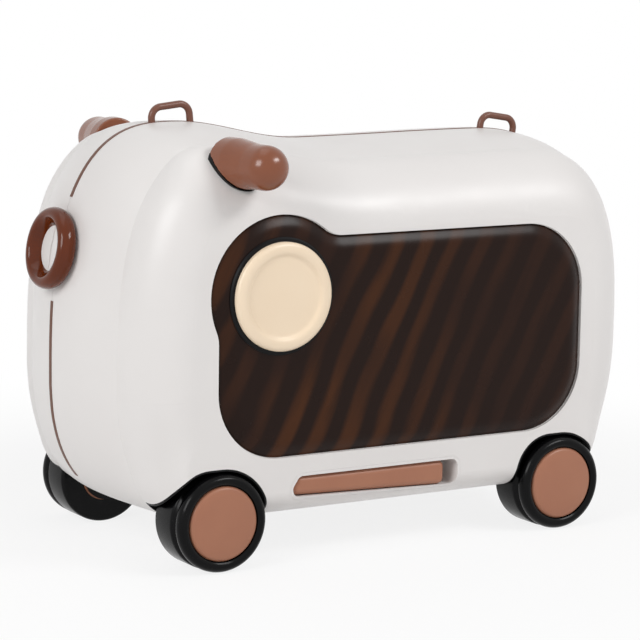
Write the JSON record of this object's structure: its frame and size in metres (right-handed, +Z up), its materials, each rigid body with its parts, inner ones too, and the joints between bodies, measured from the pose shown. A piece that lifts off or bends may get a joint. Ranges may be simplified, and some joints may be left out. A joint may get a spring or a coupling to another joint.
{
  "type": "ride-on suitcase",
  "caption": "Hard child's ride-on case of two hinged half shells on wide wheels, with side grips, twist latches, strap loops, pull-out footrests and smoky side panels with an eye disc.",
  "frame": {"origin": "on the floor, under the middle of the object's box", "axes": "+X forward to the nose latch, +Y to the rider's left, +Z up"},
  "size_m": [0.5427, 0.3182, 0.3642],
  "materials": {
    "shell": "satin ivory",
    "panel": "glossy smoky brown",
    "cream": "satin cream",
    "brown": "satin brown",
    "brown_gloss": "glossy brown",
    "trim": "matt brown",
    "seal": "matt dark brown",
    "black": "glossy black",
    "tyre": "shiny black",
    "steel": "bright zinc"
  },
  "bodies": {
    "left_half": {"front_loop": "brown", "front_strip": "trim", "hinge_pins": "steel", "left_axle_clips": "steel", "left_eye_collar": "black", "left_eye_disc": "cream", "left_footrest_housing": "shell", "left_front_arch": "black", "left_front_axle": "steel", "left_grip": "brown_gloss", "left_grip_bolt": "steel", "left_grip_washer": "seal", "left_hinge_leaves": "steel", "left_panel": "panel", "left_rear_arch": "black", "left_rear_axle": "steel", "left_shell": "shell", "loop_anchors": "steel", "rear_loop": "brown", "rear_strip": "trim", "top_strip": "trim"},
    "right_half": {"latch_keepers": "shell", "right_axle_clips": "steel", "right_eye_collar": "black", "right_eye_disc": "cream", "right_footrest_housing": "shell", "right_front_arch": "black", "right_front_axle": "steel", "right_grip": "brown_gloss", "right_grip_bolt": "steel", "right_grip_washer": "seal", "right_hinge_leaves": "steel", "right_panel": "panel", "right_rear_arch": "black", "right_rear_axle": "steel", "right_shell": "shell"},
    "front_latch": {"front_latch_cam": "steel", "front_latch_core": "shell", "front_latch_ring": "brown_gloss", "front_spindle": "steel"},
    "rear_latch": {"rear_latch_cam": "steel", "rear_latch_core": "shell", "rear_latch_ring": "brown_gloss", "rear_spindle": "steel"},
    "left_footrest": {"left_footrest": "brown"},
    "right_footrest": {"right_footrest": "brown"},
    "left_front_wheel": {"left_front_hub": "brown", "left_front_hub_cap": "brown", "left_front_tyre": "tyre"},
    "left_rear_wheel": {"left_rear_hub": "brown", "left_rear_hub_cap": "brown", "left_rear_tyre": "tyre"},
    "right_front_wheel": {"right_front_hub": "brown", "right_front_hub_cap": "brown", "right_front_tyre": "tyre"},
    "right_rear_wheel": {"right_rear_hub": "brown", "right_rear_hub_cap": "brown", "right_rear_tyre": "tyre"}
  },
  "joints": [
    {"name": "case_open", "type": "hinge", "parent": "left_half", "child": "right_half", "pos_m": [0, 0, 0.033], "axis": [1, 0, 0], "range_deg": [0, 110]},
    {"name": "left_footrest_slide", "type": "slide", "parent": "left_half", "child": "left_footrest", "axis": [0, 1, 0], "range_m": [0, 0.045]},
    {"name": "right_footrest_slide", "type": "slide", "parent": "right_half", "child": "right_footrest", "axis": [0, -1, 0], "range_m": [0, 0.045]},
    {"name": "front_latch_turn", "type": "hinge", "parent": "left_half", "child": "front_latch", "pos_m": [0.25158, 0, 0.2484], "axis": [-0.9826, 0, -0.1856], "range_deg": [0, 90]},
    {"name": "rear_latch_turn", "type": "hinge", "parent": "left_half", "child": "rear_latch", "pos_m": [-0.25209, 0, 0.2484], "axis": [-0.9764, 0, 0.2159], "range_deg": [0, 90]},
    {"name": "left_front_wheel_spin", "type": "hinge", "parent": "left_half", "child": "left_front_wheel", "pos_m": [0.167, 0.105, 0.04], "axis": [0, 1, 0], "continuous": true},
    {"name": "left_rear_wheel_spin", "type": "hinge", "parent": "left_half", "child": "left_rear_wheel", "pos_m": [-0.1625, 0.105, 0.04], "axis": [0, 1, 0], "continuous": true},
    {"name": "right_front_wheel_spin", "type": "hinge", "parent": "right_half", "child": "right_front_wheel", "pos_m": [0.167, -0.105, 0.04], "axis": [0, 1, 0], "continuous": true},
    {"name": "right_rear_wheel_spin", "type": "hinge", "parent": "right_half", "child": "right_rear_wheel", "pos_m": [-0.1625, -0.105, 0.04], "axis": [0, 1, 0], "continuous": true}
  ]
}
